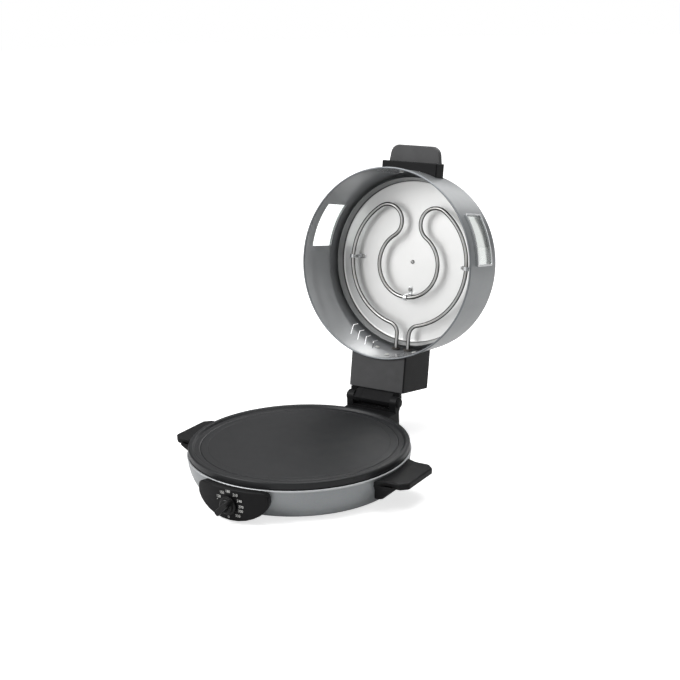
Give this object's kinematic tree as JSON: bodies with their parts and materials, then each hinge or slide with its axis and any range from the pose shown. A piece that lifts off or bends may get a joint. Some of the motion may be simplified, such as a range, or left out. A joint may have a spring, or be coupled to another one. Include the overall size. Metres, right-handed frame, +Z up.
{
  "type": "countertop bread maker",
  "caption": "Round countertop flatbread cooker: shallow base with a baking plate, side handles and a dial knob, and a deep hinged drum lid with windows and an upper heating element.",
  "frame": {"origin": "on the table, at the middle of the footprint of the whole object with its lid open", "axes": "+Z up, +Y from the control knob to the hinge, +X to the right seen from the knob's side"},
  "size_m": [0.408, 0.5816, 0.4464],
  "materials": {
    "silver_paint": "silver-grey baked paint on pressed sheet steel",
    "nonstick": "dark non-stick coating on cast aluminium",
    "black_plastic": "fine-textured black heat-resistant moulding",
    "black_knob": "satin black moulding",
    "bright_aluminium": "bright rolled sheet",
    "heater_steel": "drawn tube, slightly heat-tinted",
    "bright_steel": "turned and plated",
    "spring_steel": "stamped strip",
    "polished_trim": "polished",
    "galvanised": "galvanised sheet",
    "zinc_casting": "die-cast, dull",
    "black_rubber": "moulded rubber",
    "white_ceramic": "unglazed white ceramic",
    "clear_glass": "clear, slightly curved"
  },
  "bodies": {
    "base": {"baking_plate": "nonstick", "base_shell": "silver_paint", "bottom_cover": "galvanised", "control_panel": "black_plastic", "cord_gland": "black_rubber", "element_clamp_1": "spring_steel", "element_clamp_2": "spring_steel", "element_clamp_3": "spring_steel", "foot_front_left": "black_rubber", "foot_front_right": "black_rubber", "foot_post": "black_rubber", "foot_rear_left": "black_rubber", "foot_rear_right": "black_rubber", "hinge_cap_left": "black_plastic", "hinge_cap_right": "black_plastic", "hinge_pin": "bright_steel", "hinge_post": "black_plastic", "lower_element": "heater_steel", "lower_reflector": "bright_aluminium", "side_handle_left": "black_plastic", "side_handle_right": "black_plastic", "terminal_block": "white_ceramic", "thermostat_body": "zinc_casting"},
    "knob": {"control_knob": "black_knob", "thermostat_shaft": "bright_steel"},
    "lid": {"lid_shell": "silver_paint", "window_frame_left": "polished_trim", "window_frame_right": "polished_trim", "window_glass_left": "clear_glass", "window_glass_right": "clear_glass", "reflector": "bright_aluminium", "upper_element": "heater_steel", "reflector_screw": "bright_steel", "clip_screw_left": "bright_steel", "clip_screw_right": "bright_steel", "clip_screw_front": "bright_steel", "element_clip_left": "spring_steel", "element_clip_right": "spring_steel", "element_clip_front": "spring_steel", "leg_bushing_left": "white_ceramic", "leg_bushing_right": "white_ceramic", "lid_handle": "black_plastic", "handle_screw_left": "bright_steel", "handle_screw_right": "bright_steel", "hinge_housing": "black_plastic", "housing_screw_left": "bright_steel", "housing_screw_right": "bright_steel", "housing_screw_front": "bright_steel"}
  },
  "joints": [
    {"name": "lid_hinge", "type": "hinge", "parent": "base", "child": "lid", "pos_m": [0, 0.12253, 0.06], "axis": [1, 0, 0], "range_deg": [0, 100]},
    {"name": "thermostat_turn", "type": "hinge", "parent": "base", "child": "knob", "pos_m": [0, -0.27187, 0.0263], "axis": [0, 1, 0], "range_deg": [0, 268]}
  ]
}
